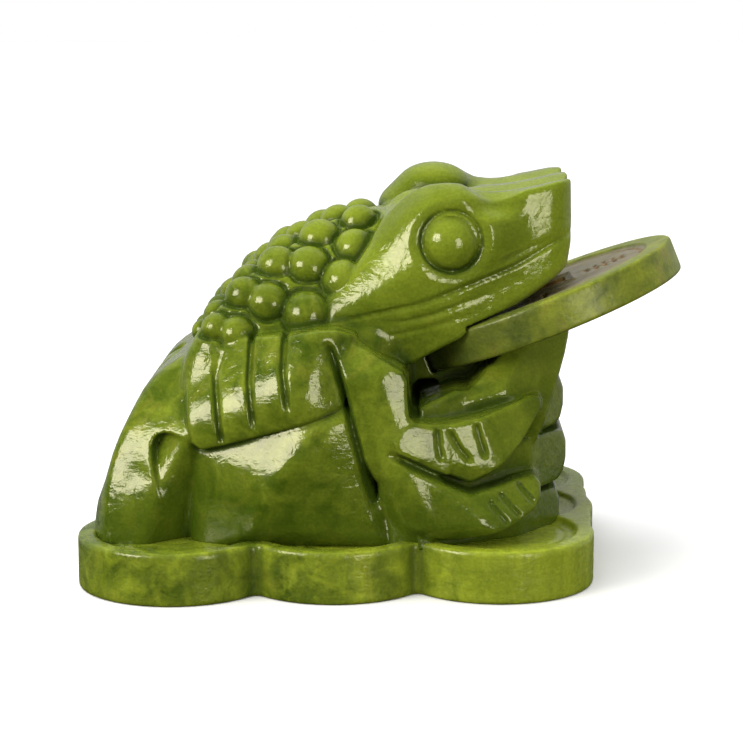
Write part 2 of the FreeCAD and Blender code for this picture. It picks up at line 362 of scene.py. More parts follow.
def block_out_throat(s):
    """Back of the mouth under the coin, pierced from side to side by a low opening."""
    side = s.side([(12, 36), (12, 60), (17.4, 60), (17.7, 44), (20, 40.6), (26, 40.8),
                   (33, 47.0), (38, 53), (34, 36)], 1)
    floor = s.mass(side, [s.face(20, 26.0, 45, 0.0, -0.2)], 0.8)
    block = s.mass(s.side([(14, 36), (14, 62), (44, 62), (44, 36)], 0), [s.face(20, 13, 45)], 2.0)
    tunnel = s.side([(18.6, 41.0), (18.6, 45.8), (25.4, 45.8), (25.4, 41.0)], 1) - 0.2
    return cut(np.minimum(floor, block), tunnel + 0 * s.y, 0.5)


def block_out_arm(s):
    """Upper front leg, from the shoulder down to the hand and the foot."""
    side = s.side([(-0.6, 60.4), (6, 58.5), (13.0, 54.5), (17.4, 52), (17.2, 46), (18.2, 40.5),
                   (26, 38), (28, 30), (24, 14), (20, UNDER), (9, UNDER), (7.6, 27.0), (5.6, 33.0),
                   (3.4, 41.0), (1.2, 50)], 1)
    faces = [s.face(9, 44.0, 44, 0.16, 0.02), s.face(14.0, 44.2, 44, -0.31, -0.13),
             s.face(12, 45.2, 30, 0.10, 0.12), s.face(2, 41.6, 54, 0.15, -0.62),
             s.face(6.6, 43.4, 32.7, 0.55, 0.15), s.face(14, 43.6, 18, 0.1, 0.45)]
    return s.mass(side, faces, 0.8, inner=10)


def block_out_hand(s):
    """Clasping hand: a shield-shaped block with a bright top facet."""
    side = s.side([(13.2, 35), (17.6, 41.2), (25, 40.0), (31.7, 40.6), (41, 43.0), (48.0, 45.6),
                   (49.6, 42.5), (47.2, 39.0), (43.0, 32.8), (32.4, 23.6), (22.7, 28.6)], 1)
    faces = [s.face(30, 40.5, 36, -0.31, -0.14), s.face(37, 38.4, 36, -0.72, -0.30),
             s.face(30, 41.5, 31, -0.20, 0.40), s.face(45, 33.8, 38, -1.2, 0.0)]
    return s.mass(side, faces, 0.8, inner=10)


def block_out_foot(s):
    """Front foot, turned forwards under the hand."""
    side = s.side([(12.0, 26.4), (12.4, 34.6), (22.5, 29.6), (32.6, 24.2), (38, 24.8),
                   (43.4, 26.3), (48.8, 26.4), (48.8, 20.4), (42.9, 16.8), (36.3, 14.4),
                   (27.8, 12.8), (20.7, 13.8), (14.0, 19.0)], 1)
    faces = [s.face(26, 44.3, 19, 0.05, -0.03), s.face(17.5, 43.2, 31.3, -0.46, -0.75),
             s.face(40, 41.6, 21, -0.50, -0.22), s.face(28, 43.6, 15, 0.0, 0.75),
             s.face(16, 43.6, 22, 0.40, -0.05)]
    return s.mass(side, faces, 0.9, inner=10)


def block_out_pile(s):
    """Ingots stacked between the front legs, each with a swelling front."""
    field = None
    for low, high, front_x, width in ((33.6, 46.3, 55.6, 21.5), (20.6, 34.0, 56.2, 25.0),
                                      (UNDER, 20.2, 54.6, 28.0)):
        middle = (low + high) / 2
        half = (high - low) / 2
        side = s.side([(20, low), (20, high), (front_x - 3.2, high), (front_x, high - 0.22 * half),
                       (front_x, low + 0.5 * half), (front_x - 3.0, low)], 1)
        end = s.face(48, width, middle, -0.55, -0.12)
        front = s.plane((front_x - 1.0, width - 12, middle), (0.82, 0.56, 0.06))
        ingot = s.mass(side, [end, front], 0.9)
        field = ingot if field is None else np.minimum(field, ingot)
    return field


# ---------------------------------------------------------------- meshing

def surface_net(field, low, step):
    """Vertices and four-sided faces of the field's zero surface; one vertex in each cut cell."""
    inside = field < 0
    corners = np.zeros([n - 1 for n in field.shape], np.uint8)
    offsets = [(i, j, k) for i in (0, 1) for j in (0, 1) for k in (0, 1)]
    nx, ny, nz = corners.shape
    for i, j, k in offsets:
        corners += inside[i:i + nx, j:j + ny, k:k + nz]
    cells = np.argwhere((corners > 0) & (corners < 8))
    number = np.full(corners.shape, -1, np.int32)
    number[tuple(cells.T)] = np.arange(len(cells))
    values = {o: field[tuple((cells + o).T)] for o in offsets}
    total = np.zeros((len(cells), 3))
    count = np.zeros(len(cells))
    for a in offsets:
        for axis in range(3):
            if a[axis] == 0:
                b = tuple(c + (n == axis) for n, c in enumerate(a))
                crosses = (values[a] < 0) != (values[b] < 0)
                gap = np.where(crosses, values[a] - values[b], 1)
                part = np.where(crosses, values[a] / gap, 0)
                place = np.array(a, float)[None, :].repeat(len(cells), 0)
                place[:, axis] += part
                total += place * crosses[:, None]
                count += crosses
    points = np.array(low) + step * (cells + total / count[:, None])
    faces = []
    for axis in range(3):
        u, v = (axis + 1) % 3, (axis + 2) % 3
        first = [slice(1, -1)] * 3
        first[axis] = slice(0, -1)
        second = list(first)
        second[axis] = slice(1, None)
        a, b = inside[tuple(first)], inside[tuple(second)]
        at = np.argwhere(a != b)
        grow = np.ones(3, int)
        grow[axis] = 0
        at = at + grow
        out = inside[tuple(at.T)]
        quad = []
        for du, dv in ((0, 0), (-1, 0), (-1, -1), (0, -1)):
            cell = at.copy()
            cell[:, u] += du
            cell[:, v] += dv
            quad.append(number[tuple(cell.T)])
        quad = np.stack(quad, 1)
        quad[~out] = quad[~out][:, ::-1]
        faces.append(quad)
    return points, np.concatenate(faces)


def sample(field, low, step, points):
    """Field at any points, between its grid values."""
    spot = (points - np.array(low)) / step
    base = np.clip(np.floor(spot).astype(int), 0, np.array(field.shape) - 2)
    part = spot - base
    value = 0
    for i in (0, 1):
        for j in (0, 1):
            for k in (0, 1):
                weight = (np.abs(1 - i - part[:, 0]) * np.abs(1 - j - part[:, 1])
                          * np.abs(1 - k - part[:, 2]))
                value = value + weight * field[base[:, 0] + i, base[:, 1] + j, base[:, 2] + k]
    return value


def slope(field, low, step, points):
    """Direction in which the field grows fastest at any points."""
    parts = []
    for axis in range(3):
        shift = np.zeros(3)
        shift[axis] = 0.5 * step
        ahead = sample(field, low, step, points + shift)
        behind = sample(field, low, step, points - shift)
        parts.append((ahead - behind) / step)
    return np.stack(parts, 1)


def settle(points, field, low, step, times=2):
    """Move vertices onto the zero surface."""
    for _ in range(times):
        grad = slope(field, low, step, points)
        size = np.maximum((grad ** 2).sum(1), 0.05)
        move = (sample(field, low, step, points) / size)[:, None] * grad
        points = points - np.clip(move, -0.3 * step, 0.3 * step)
    return points


def openness(points, field, low, step):
    """How freely each vertex is seen from outside: 1 on open faces, less in creases."""
    out = slope(field, low, step, points)
    out = out / np.maximum(np.linalg.norm(out, axis=1, keepdims=True), 1e-6)
    total = 0
    reaches = (1.0, 2.0, 3.5, 6.0, 10.0)
    for reach in reaches:
        total = total + np.clip(sample(field, low, step, points + reach * out) / reach, 0, 1)
    return total / len(reaches)


def make_mesh(name, field, low, step, material, turn=None, shift=0.0, open_to=None):
    """Polished Blender object from a field in millimetres, turned and shifted into place."""
    points, faces = surface_net(field, low, step)
    points = settle(points, field, low, step)
    seen = openness(points, field if open_to is None else open_to, low, step)
    if turn is not None:
        points = points @ turn
    points = points + shift
    mesh = bpy.data.meshes.new(name)
    mesh.vertices.add(len(points))
    mesh.vertices.foreach_set("co", (points * MM).astype(np.float32).ravel())
    mesh.loops.add(faces.size)
    mesh.loops.foreach_set("vertex_index", faces.ravel().astype(np.int32))
    mesh.polygons.add(len(faces))
    mesh.polygons.foreach_set("loop_start", np.arange(0, faces.size, 4, dtype=np.int32))
    mesh.polygons.foreach_set("loop_total", np.full(len(faces), 4, np.int32))
    mesh.update(calc_edges=True)
    mesh.polygons.foreach_set("use_smooth", np.ones(len(faces), bool))
    mesh.attributes.new("openness", "FLOAT", "POINT").data.foreach_set(
        "value", seen.astype(np.float32))
    mesh.materials.append(material)
    piece = bpy.data.objects.new(name, mesh)
    bpy.context.scene.collection.objects.link(piece)
    print(name, "faces", len(faces))
    return piece


# ---------------------------------------------------------------- carving the toad

EYE = (27.6, 82.0)
EYE_LEAN = np.array([0.10, 0.985, 0.14])
EYE_LEAN = EYE_LEAN / np.linalg.norm(EYE_LEAN)
EYE_RADIUS = 5.0
EYE_RISE = 2.1
EYE_SINK = 0.9
WARTS = [   # x, y and radius of each wart on one side; those with y 0 are on the middle line
    (5.0, 8.7, 4.0), (4.6, 17.4, 4.5), (2.0, 24.2, 4.7),
    (-4.6, 12.4, 4.5), (-6.4, 21.4, 4.5), (-6.6, 28.6, 5.1),
    (-13.6, 9.6, 4.2), (-14.6, 19.2, 4.3), (-15.8, 27.2, 4.3),
    (-22.0, 14.5, 4.0), (-22.4, 24.2, 4.0), (-22.8, 31.0, 3.7),
    (-29.0, 20.0, 3.4), (-28.4, 29.0, 3.2),
    (-0.5, 0.0, 4.2), (-9.5, 0.0, 4.1), (-17.6, 0.0, 4.0), (-21.0, 6.6, 3.2), (-26.5, 0.0, 3.6),
    (-29.2, 9.6, 3.4), (-34.2, 4.6, 2.6),
]


def shape_warts(s, torso):
    """Round bosses over the back; the torso gets a fine groove and a low ridge round each."""
    ground = torso.copy()
    bosses = np.full(s.shape, FAR, np.float32)
    groove = np.zeros(s.shape, np.float32)
    ridge = np.zeros(s.shape, np.float32)
    for x, y, radius in WARTS:
        point = (x, y, s.height(ground, x, y))
        normal = s.normal(ground, point)
        crosses_middle = y < radius
        for side in (1, -1) if crosses_middle else (1,):
            mirror = np.array([1, side, 1])
            ball, area = dome(s, np.array(point) * mirror, normal * mirror,
                              1.08 * radius, 0.73 * radius)
            bosses[area] = np.minimum(bosses[area], ball)
            groove[area] = np.maximum(groove[area], 0.9 * ridge_at(ball, 0.7))
            ridge[area] = np.maximum(ridge[area], 0.3 * ridge_at(ball - 1.7, 0.6))
    torso += groove - ridge
    return bosses


def shape_eye(s, head):
    """Domed eye; the head gets a shallow bowl round it and a fine ring groove."""
    x, z = EYE
    column = head[int(round((x - s.low[0]) / s.step)), :, int(round((z - s.low[2]) / s.step))]
    y = np.nonzero(column < 0)[0][-1] * s.step
    px, py, pz = s.x - x, s.y - y, s.z - z
    along = px * EYE_LEAN[0] + py * EYE_LEAN[1] + pz * EYE_LEAN[2]
    across = np.sqrt(np.maximum(px * px + py * py + pz * pz - along * along, 0))
    near = np.abs(along) < 6
    head += (EYE_SINK * smooth_step((10.2 - across) / 3.2) * near).astype(np.float32)
    head += (0.6 * ridge_at(across - 7.0, 0.5) * near).astype(np.float32)
    centre = np.array([x, y, z]) - EYE_SINK * EYE_LEAN
    ball, area = dome(s, centre, EYE_LEAN, EYE_RADIUS, EYE_RISE)
    head[area] += 0.5 * ridge_at(ball, 0.5)
    eye = np.full(s.shape, FAR, np.float32)
    eye[area] = ball
    return eye


def engrave_lines(s, masses):
    """Engraved lines: thigh bands, folds of the lip, fingers, toes, and the arm's back edge."""
    thigh = masses["haunch"]
    for path in ([(-26.0, 60.0), (-27.5, 50.2), (-26.2, 39.5), (-25.6, 35.5)],
                 [(-19.0, 61.5), (-19.3, 50.2), (-17.9, 39.0)],
                 [(-11.0, 61.5), (-11.3, 52.8), (-9.9, 43.5)]):
        thigh = s.engrave(thigh, path, 1.2, 1.5, ends=0.12)
    masses["haunch"] = thigh
    head = masses["head"]
    lip = [(-2.5, 62.0), (6.3, 63.9), (20.5, 67.1), (31.6, 71.4), (42.7, 75.6), (52.2, 80.9),
           (57, 83.5)]
    head = s.engrave(head, lip, 1.0, 0.6, ends=0.2)
    head = s.engrave(head, [(10, 62.6), (16.4, 62.8), (22.5, 64.2), (30.6, 67.1), (41.8, 71.0)],
                     0.9, 0.5, ends=0.35)
    head = s.engrave(head, [(7.3, 58.8), (14.9, 59.6), (22.6, 61.4), (33, 64.5)], 0.9, 0.3)
    head = s.engrave(head, [(37.7, 76.2), (42.8, 78.4), (47.9, 80.2), (53, 82.6)], 1.1, 0.3)
    masses["head"] = head
    leg = masses["front_leg"]
    fingers = [[(24.2, 40.0), (24.6, 35.5), (25.4, 31.6)],
               [(26.8, 39.4), (29.4, 34.6), (32.2, 31.2)],
               [(33.2, 40.6), (34.2, 36.5), (35.6, 31.8)]]
    toes = [[(36.2, 22.4), (41.0, 16.6)], [(38.6, 23.9), (44.0, 17.9)],
            [(42.8, 25.7), (47.4, 20.6)]]
    for path in fingers + toes:
        leg = s.engrave(leg, path, 0.9, 0.9)
    leg = s.engrave(leg, [(12.6, 34.4), (22.7, 29.1), (32.3, 24.7), (41, 29.5), (49.4, 33.4)],
                    1.6, 2.3, ends=0.1)
    masses["front_leg"] = leg
    behind_arm = [(-1.6, 60.0), (-0.3, 57.1), (2.6, 49.0), (4.6, 40.4), (6.6, 32.7), (8.1, 27.6),
                  (9.6, 20.0)]
    behind_foot = [(7.6, 32.0), (10.6, 25.5), (12.6, 18.5), (15.0, 11.0)]
    for name in ("torso", "haunch", "front_leg"):
        field = s.engrave(masses[name], behind_arm, 1.4, 1.5)
        masses[name] = s.engrave(field, behind_foot, 4.0, 3.0, ends=0.3)


def shape_nose(s, head):
    """Channels along the snout, dips between and in front of the brows, and the nostrils."""
    along = smooth_step((s.x - 28) / 8)
    between_brows = smooth_step((s.x - 5) / 7) * smooth_step((36 - s.x) / 7)
    high = smooth_step((s.z - 86) / 4)
    gutter = smooth_step(1 - np.abs(s.y - 10) / 8.5)
    dell = smooth_step(1 - np.abs(s.y - 11) / 11.5)
    hollow = smooth_step(1 - np.abs(s.x - 37.5) / 8.5) * smooth_step((s.y - 19.5) / 6)
    nostril = ridge_at(np.hypot(s.y - 8.0, s.z - 87.0), 2.236) * smooth_step((s.x - 50) / 3)
    from_above = 1.5 * gutter * along + 4.5 * dell * between_brows + 2.0 * hollow
    return head + (from_above * high + 1.5 * nostril).astype(np.float32)


def block_out_toad(s):
    """All the masses of the carving on one side, by the name of their region."""
    masses = {
        "torso": join(block_out_torso(s), block_out_belly(s), 1.5),
        "haunch": block_out_thigh(s),
        "hind_leg": block_out_hind_leg(s),
        "head": shape_nose(s, block_out_head(s)),
        "lower_jaw": join(block_out_jaw(s), block_out_throat(s), 1.0),
        "front_leg": join(join(block_out_arm(s), block_out_hand(s), 0.8),
                          block_out_foot(s), 0.6),
        "ingot_pile": block_out_pile(s),
    }
    engrave_lines(s, masses)
    masses["back_warts"] = shape_warts(s, masses["torso"])
    masses["eyes"] = shape_eye(s, masses["head"])
    return masses


def both_sides(half):
    """Full field from the half on one side of the middle plane."""
    return np.concatenate([half[:, :0:-1], half], axis=1)


def coin_axes():
    """Directions of the coin: forwards, to its left, and out of its upper face."""
    ahead = np.array([math.cos(COIN_PITCH), 0, math.sin(COIN_PITCH)])
    up = np.array([-math.sin(COIN_PITCH), 0, math.cos(COIN_PITCH)])
    left = np.array([0, 1.0, 0])
    tilted_left = left * math.cos(COIN_ROLL) - up * math.sin(COIN_ROLL)
    return ahead, tilted_left, np.cross(ahead, tilted_left)


def coin_path(x, y, z, room=0.5):
    """Space that the coin sweeps on its way out of the mouth, with some room round it."""
    ahead, left, up = coin_axes()
    place = [x - COIN_CENTRE[0], y - COIN_CENTRE[1], z - COIN_CENTRE[2]]
    along = sum(p * a for p, a in zip(place, ahead))
    across = sum(p * a for p, a in zip(place, left))
    over = sum(p * a for p, a in zip(place, up))
    behind = np.hypot(np.minimum(along, 0), across) - COIN_RADIUS - room
    slab = np.abs(over) - COIN_THICKNESS / 2 - room
    return np.maximum(behind, slab).astype(np.float32)


# fillet where each mass joins those before it
FILLETS = {"hind_leg": 1.0, "haunch": 0.8, "head": 1.4, "lower_jaw": 1.0, "front_leg": 0.8,
           "ingot_pile": 0.6, "back_warts": 0.5, "eyes": 0.3}
NODE_SIDES = {"front_leg": ("front_leg_right", "front_leg_left"),
              "haunch": ("haunch_right", "haunch_left")}
SEAM_DIP = 0.6    # how steeply a piece goes down under its neighbours
OVERLAP = 1.2     # how far it goes on beyond the seam


def split_regions(whole, masses, y):
    """Closed field of each region: it follows the whole, and dips under its neighbours."""
    names = list(masses)
    for name in names:
        others = np.min([masses[n] for n in names if n != name], axis=0)
        beyond = (masses[name] - others) / 2
        region = np.maximum(whole + SEAM_DIP * np.maximum(beyond, 0), beyond - OVERLAP)
        if name in NODE_SIDES:
            for node, side in zip(NODE_SIDES[name], (-1, 1)):
                yield node, np.maximum(region, -side * y)
        else:
            yield name, region


def far_brow(x, y, z):
    """The toad's left brow: two lumps that run together, a little higher than the right brow."""
    lumps = []
    for centre_x, centre_z, length, height in ((23.5, 90.5, 9.5, 6.2), (16.5, 86.0, 7.0, 5.2)):
        reach = np.sqrt(((x - centre_x) / length) ** 2 + ((y - 17) / 9.0) ** 2
                        + ((z - centre_z) / height) ** 2)
        lumps.append(((reach - 1) * height).astype(np.float32))
    return join(*lumps, 3.0)


def carve_toad(material):
    """The whole toad and the pile, without the coin's path, as one piece for each CAD node."""
    s = Stone(GRID_LOW, GRID_HIGH, STEP)
    masses = block_out_toad(s)
    whole = masses["torso"]
    for name, soft in FILLETS.items():
        whole = join(whole, masses[name], soft)
    whole = both_sides(whole)
    masses = {name: both_sides(mass) for name, mass in masses.items()}
    y = np.concatenate([-s.y[:, :0:-1], s.y], axis=1)
    brow = far_brow(s.x, y, s.z)
    whole = join(whole, brow, 2.0)
    masses["head"] = join(masses["head"], brow, 2.0)
    whole = np.maximum(whole, TOAD_BOTTOM - s.z)
    whole = np.maximum(whole, -coin_path(s.x, y, s.z))
    low = (s.low[0], float(y[0, 0, 0]), s.low[2])
    for node, field in split_regions(whole, masses, y):
        piece = make_mesh("toad_" + node, field, low, STEP, material, open_to=whole)
        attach(piece, "carving")
        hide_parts(node)


# ---------------------------------------------------------------- base and coin

LOBES = [(-37.6, -31.0), (0.0, -28.5), (38.5, -27.2), (-36.0, 28.0), (0.0, 28.5), (40.3, 28.5),
         (-36.8, 0.0), (40.3, 0.0)]
FILLED_NOTCHES = [(39.0, -13.5), (39.8, 14.0)]    # widen the outline only, with no recess
LOBE_RADIUS = 23.5
RIM_INNER_RADIUS = 19.6
RING_RADIUS = 16.2


def carve_base(material):
    """Slab with a ring of coin-shaped lobes, each recessed inside a raised rim."""
    step = 1.2 * STEP
    x, y, z = [np.arange(low, high, step, dtype=np.float32)
               for low, high in ((-66, 67), (-56, 56), (-1.5, 14.5))]
    low = (x[0], y[0], z[0])
    x, y, z = x[:, None, None], y[None, :, None], z[None, None, :]
    outline = None
    nearest = None
    for lobe_x, lobe_y in LOBES + FILLED_NOTCHES:
        reach = np.hypot(x - lobe_x, y - lobe_y)
        lobe = reach - LOBE_RADIUS
        outline = lobe if outline is None else join(outline, lobe, 2.4)
        if (lobe_x, lobe_y) in LOBES:
            nearest = reach if nearest is None else np.minimum(nearest, reach)
    outline = np.minimum(outline, np.maximum(np.abs(x) - 38, np.abs(y) - 27))
    ledge = 1.3 * smooth_step((RIM_INNER_RADIUS - nearest) / 0.9)
    ring = 0.3 * ridge_at(nearest - RING_RADIUS, 0.6)
    field = meet(outline + 0 * z, z - BASE_HEIGHT + ledge + ring, 1.0)
    field = meet(field, -z, 0.8).astype(np.float32)
    piece = make_mesh("base_of_coins", field, low, step, material)
    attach(piece, "carving")
    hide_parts("base_slab")


FRET_BARS = ((12.0, 3.2), (14.4, 5.0), (16.8, 5.8), (19.2, 5.0), (21.4, 3.2))


def coin_relief(x, y):
    """Depth of the engraving on the coin's upper face: plain rings, a square and fret strokes."""
    reach = np.hypot(x, y)
    depth = 0.7 * smooth_step((28.2 - reach) / 0.8)
    depth = depth + 0.5 * ridge_at(reach - 26.2, 0.5)
    square = np.maximum(np.abs(x), np.abs(y))
    depth = depth - 0.6 * smooth_step(1 - np.abs(square - 8.2) / 1.2)
    depth = depth + 0.7 * smooth_step((6.6 - square) / 0.6)
    for quarter in range(4):
        turn = quarter * math.pi / 2
        u = x * math.cos(turn) + y * math.sin(turn)
        v = -x * math.sin(turn) + y * math.cos(turn)
        for along, half_length in FRET_BARS:
            bar = np.maximum(np.abs(u - along) - 0.55, np.abs(v) - half_length)
            depth = depth + 0.45 * smooth_step(0.5 - bar / 0.6)
        spine = np.maximum(np.abs(v) - 0.5, np.abs(u - 16.7) - 4.6)
        depth = depth + 0.45 * smooth_step(0.5 - spine / 0.6)
    return depth


def mark_coin_face(mesh, turn):
    """Vertex values for the coin's material: where its worn face is, and where it is engraved."""
    places = np.empty(3 * len(mesh.vertices), np.float32)
    mesh.vertices.foreach_get("co", places)
    places = (places.reshape(-1, 3) / MM - COIN_CENTRE) @ turn.T
    reach = np.hypot(places[:, 0], places[:, 1])
    face = smooth_step((28.0 - reach) / 0.8) * smooth_step((places[:, 2] - 2.0) / 0.5)
    stroke = face * smooth_step((3.45 - places[:, 2]) / 0.3)
    for name, values in (("worn_face", face), ("stroke", stroke)):
        layer = mesh.attributes.new(name, "FLOAT", "POINT")
        layer.data.foreach_set("value", values.astype(np.float32))


def carve_coin(material):
    """Loose coin held in the mouth, engraved on its upper face."""
    step = 0.8 * STEP
    half = COIN_RADIUS + 1.5
    count = int(2 * half / step) + 1
    flat = (np.arange(count, dtype=np.float32) - (count - 1) / 2) * step
    tall = np.arange(-COIN_THICKNESS / 2 - 3 * step, COIN_THICKNESS / 2 + 3 * step, step,
                     dtype=np.float32)
    x, y, z = flat[:, None, None], flat[None, :, None], tall[None, None, :]
    relief = coin_relief(x[:, :, 0], y[:, :, 0])[:, :, None]
    rim = np.hypot(x, y) - COIN_RADIUS
    field = meet(rim + 0 * z, z - COIN_THICKNESS / 2 + relief, 1.0)
    field = meet(field, -z - COIN_THICKNESS / 2 + 0.4 * (rim < -5), 1.0)
    ahead, left, up = coin_axes()
    turn = np.stack([ahead, left, up])
    piece = make_mesh("coin_in_mouth", field.astype(np.float32), (flat[0], flat[0], tall[0]), step,
                      material, turn, COIN_CENTRE)
    mark_coin_face(piece.data, turn)
    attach(piece, "coin")
    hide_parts("coin")


# ---------------------------------------------------------------- materials

def feed(tree, socket, value):
    """Join a socket to another one, or set its value."""
    if isinstance(value, bpy.types.NodeSocket):
        tree.links.new(value, socket)
    else:
        socket.default_value = value


class Shader:
    """Small helper that adds nodes to a material and joins them up."""

    def __init__(self, name):
        self.material = bpy.data.materials.new(name)
        self.material.use_nodes = True
        self.tree = self.material.node_tree
        self.out = self.tree.nodes["Principled BSDF"]
        coordinates = self.tree.nodes.new("ShaderNodeTexCoord")
        self.place = coordinates.outputs["Object"]

    def node(self, kind, links, **values):
        """New node; links holds what its inputs are joined to or set to."""
        node = self.tree.nodes.new(kind)
        for key, value in values.items():
            setattr(node, key, value)
        for socket, value in links.items():
            feed(self.tree, node.inputs[socket], value)
        return node

    def attribute(self, name):
        """A number stored at the vertices."""
        return self.node("ShaderNodeAttribute", {}, attribute_name=name).outputs["Fac"]

    def stretched(self, turn, scale):
        """Coordinates turned and scaled, for a pattern with a direction."""
        mapping = self.node("ShaderNodeMapping", {"Vector": self.place, "Rotation": turn,
                                                  "Scale": scale})
        return mapping.outputs["Vector"]

    def noise(self, scale, detail=3.0, distortion=0.0, place=None):
        """Cloudy noise; scale is in waves to the metre."""
        node = self.node("ShaderNodeTexNoise", {"Vector": place or self.place, "Scale": scale,
                                                "Detail": detail, "Distortion": distortion})
        return node.outputs["Fac"]

    def levels(self, value, low, high, to_low=0.0, to_high=1.0):
        """Range from low to high stretched to a new range, and kept inside it."""
        node = self.node("ShaderNodeMapRange", {"Value": value, "From Min": low, "From Max": high,
                                                "To Min": to_low, "To Max": to_high})
        return node.outputs["Result"]

    def blend(self, factor, first, second, mode="MIX"):
        """The first colour where the factor is 0, the second where it is 1."""
        node = self.node("ShaderNodeMix", {0: factor, 6: first, 7: second}, data_type="RGBA",
                         blend_type=mode)
        return node.outputs[2]

    def maths(self, kind, first, second):
        """Result of one sum."""
        return self.node("ShaderNodeMath", {0: first, 1: second}, operation=kind).outputs[0]

    def bump(self, height, distance, below=None):
        """Fine relief, on top of the relief below it."""
        links = {"Height": height, "Distance": distance, "Strength": 1.0}
        if below is not None:
            links["Normal"] = below
        return self.node("ShaderNodeBump", links).outputs["Normal"]

    def along(self, axis):
        """Place along one axis, in metres."""
        return self.node("ShaderNodeSeparateXYZ", {0: self.place}).outputs[axis]

    def set(self, **sockets):
        """Set or join the shader's own sockets."""
        for name, value in sockets.items():
            feed(self.tree, self.out.inputs[name.replace("_", " ")], value)


def stone_colour(m, dark, middle, light, warm, front_share):
    """Clouds, patches, flecks and veins of green; lighter towards the front by the given share."""
    clouds = m.levels(m.noise(42, 5, 1.2), 0.34, 0.66)
    patches = m.levels(m.noise(150, 6, 0.7), 0.38, 0.66)
    flecks = m.levels(m.noise(520, 4), 0.50, 0.70)
    veins = m.levels(m.noise(70, 6, 2.5), 0.56, 0.70)
    colour = m.blend(clouds, dark, middle)
    colour = m.blend(patches, colour, light)
    colour = m.blend(m.maths("MULTIPLY", flecks, 0.5), colour, middle)
    colour = m.blend(m.maths("MULTIPLY", veins, 0.45), colour, warm)
    wander = m.levels(m.noise(30, 2), 0, 1, -0.03, 0.03)
    ahead = m.levels(m.maths("ADD", m.along("X"), wander), 0.0, 0.06)
    return m.blend(m.maths("MULTIPLY", ahead, front_share), colour, light)


def higher(m, low, high, forward=0.0):
    """Grows from 0 to 1 between two heights; forward says how much x counts as height."""
    height = m.maths("ADD", m.along("Z"), m.maths("MULTIPLY", m.along("X"), forward))
    wander = m.levels(m.noise(60, 2), 0, 1, -0.006, 0.006)
    return m.levels(m.maths("ADD", height, wander), low, high)


def painted_crease_shade(m, colour, dark):
    """Painted shade: darker colour in creases and hollows, and close above the base, where shade
    falls.
    """
    # painted shade: darker where little of the outside can be seen from the vertex
    colour = m.blend(m.levels(m.attribute("openness"), 0.35, 0.95), dark, colour)
    # painted shade: darker close above the base, under the belly and legs
    return m.blend(higher(m, 0.012, 0.034), m.blend(0.8, colour, dark), colour)


def with_grain(m, colour):
    """Fine light and dark grain."""
    grain = m.levels(m.noise(1500, 2), 0.3, 0.7, 0.86, 1.12)
    grey = m.node("ShaderNodeCombineColor", {0: grain, 1: grain, 2: grain}).outputs[0]
    return m.blend(1.0, colour, grey, "MULTIPLY")


def polished(m, colour, rough_low, rough_high):
    """Waxy polish with hand-rubbed streaks; creases stay dull."""
    waves = m.noise(130, 2)
    streaks = m.noise(1, 3, place=m.stretched((0.3, 0.6, 0.2), (110, 900, 1100)))
    pits = m.levels(m.noise(420, 3, 0.6), 0.35, 0.65)
    normal = m.bump(waves, 0.00022)
    normal = m.bump(pits, 0.00005, below=normal)
    normal = m.bump(streaks, 0.00007, below=normal)
    dull = m.levels(m.attribute("openness"), 0.20, 0.60, 0.75, 0.0)
    shine = m.levels(m.attribute("openness"), 0.20, 0.60, 0.05, 0.5)
    rough = m.levels(m.noise(260, 3), 0.3, 0.7, rough_low, rough_high)
    m.set(Base_Color=colour, Normal=normal, IOR=1.6, Subsurface_Weight=0.35,
          Subsurface_Radius=(1.0, 0.9, 0.2), Subsurface_Scale=0.0016,
          Specular_Tint=(1.0, 0.97, 0.80, 1), Specular_IOR_Level=shine,
          Roughness=m.maths("ADD", rough, dull))
    return m.material


def carving_jade():
    """Stone of the toad: lightest over the head, with painted shade in its creases and close above
    the base.
    """
    m = Shader("jade")
    # dark green of the stone's clouds, also the colour of the painted shade in creases
    dark = (0.045, 0.078, 0.004, 1)
    colour = stone_colour(m, dark, (0.097, 0.140, 0.008, 1), (0.170, 0.218, 0.016, 1),
                          (0.19, 0.20, 0.018, 1), 0.40)
    colour = m.blend(m.maths("MULTIPLY", higher(m, 0.061, 0.080, 0.35), 0.65), colour,
                     (0.225, 0.290, 0.020, 1))
    # painted shade in the creases and near the base is laid into the colour here
    return polished(m, with_grain(m, painted_crease_shade(m, colour, dark)), 0.10, 0.20)


def base_jade():
    """Stone of the base: lightest at the front, with faint upright bands, and painted shade on its
    far side and in its grooves and recesses.
    """
    m = Shader("base_jade")
    dark = (0.060, 0.095, 0.006, 1)
    colour = stone_colour(m, dark, (0.116, 0.162, 0.010, 1), (0.325, 0.395, 0.026, 1),
                          (0.29, 0.31, 0.025, 1), 0.95)
    colour = m.blend(m.levels(m.along("X"), -0.06, 0.0, 0.45, 0.0), colour, dark)
    # painted shadow: darker from the middle towards the far side, where the toad's shadow falls on
    # the base
    colour = m.blend(m.levels(m.along("Y"), -0.01, 0.03, 0.0, 0.7), colour, dark)
    bands = m.levels(m.noise(1, 3, place=m.stretched((0, 0, 0), (420, 420, 40))), 0.35, 0.65)
    colour = m.blend(m.maths("MULTIPLY", bands, 0.25), colour, dark)
    # painted shade: darker in the base's grooves, notches and recesses
    colour = m.blend(m.levels(m.attribute("openness"), 0.35, 0.95), dark, colour)
    return polished(m, with_grain(m, colour), 0.20, 0.32)


